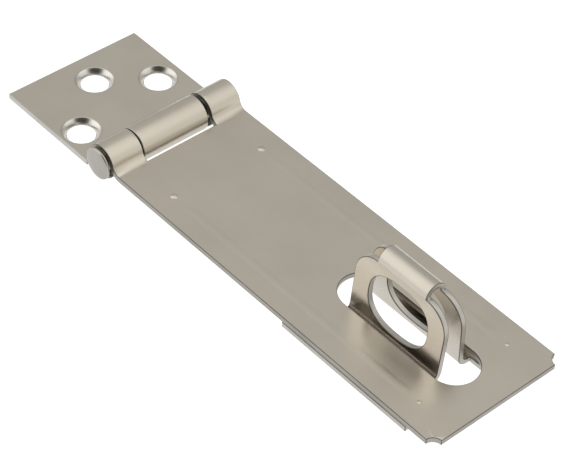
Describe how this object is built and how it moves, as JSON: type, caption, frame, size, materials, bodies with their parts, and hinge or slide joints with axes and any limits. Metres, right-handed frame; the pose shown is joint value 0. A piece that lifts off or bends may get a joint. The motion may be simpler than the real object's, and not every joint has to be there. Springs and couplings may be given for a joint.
{
  "type": "hasp and staple",
  "caption": "Hinged slotted strap hasp closed over a folded sheet staple with a padlock eye, for locking a door, gate or box.",
  "frame": {"origin": "the middle of the hinge leaf's back face, on the face that is screwed to the door", "axes": "+Z out of the door, towards the padlock eye; +X along the strap, from the hinge to its free end; +Y completes the right-handed frame, so the pin's head is at -Y"},
  "size_m": [0.144, 0.0403, 0.0216],
  "materials": {
    "satin_steel": "satin, brushed lengthwise, warm grey",
    "pin_steel": "satin, turned, neutral grey"
  },
  "bodies": {
    "leaf": {"hinge_leaf": "satin_steel"},
    "hasp": {"hasp_strap": "satin_steel", "hinge_pin": "pin_steel"},
    "staple_base": {"staple": "satin_steel"}
  },
  "joints": [
    {"name": "hasp_hinge", "type": "hinge", "parent": "leaf", "child": "hasp", "pos_m": [0.0176, 0, 0.0044], "axis": [0, -1, 0], "range_deg": [0, 180]},
    {"name": "staple_release", "type": "slide", "parent": "leaf", "child": "staple_base", "axis": [0, 0, -1], "range_m": [0, 0.03]}
  ]
}
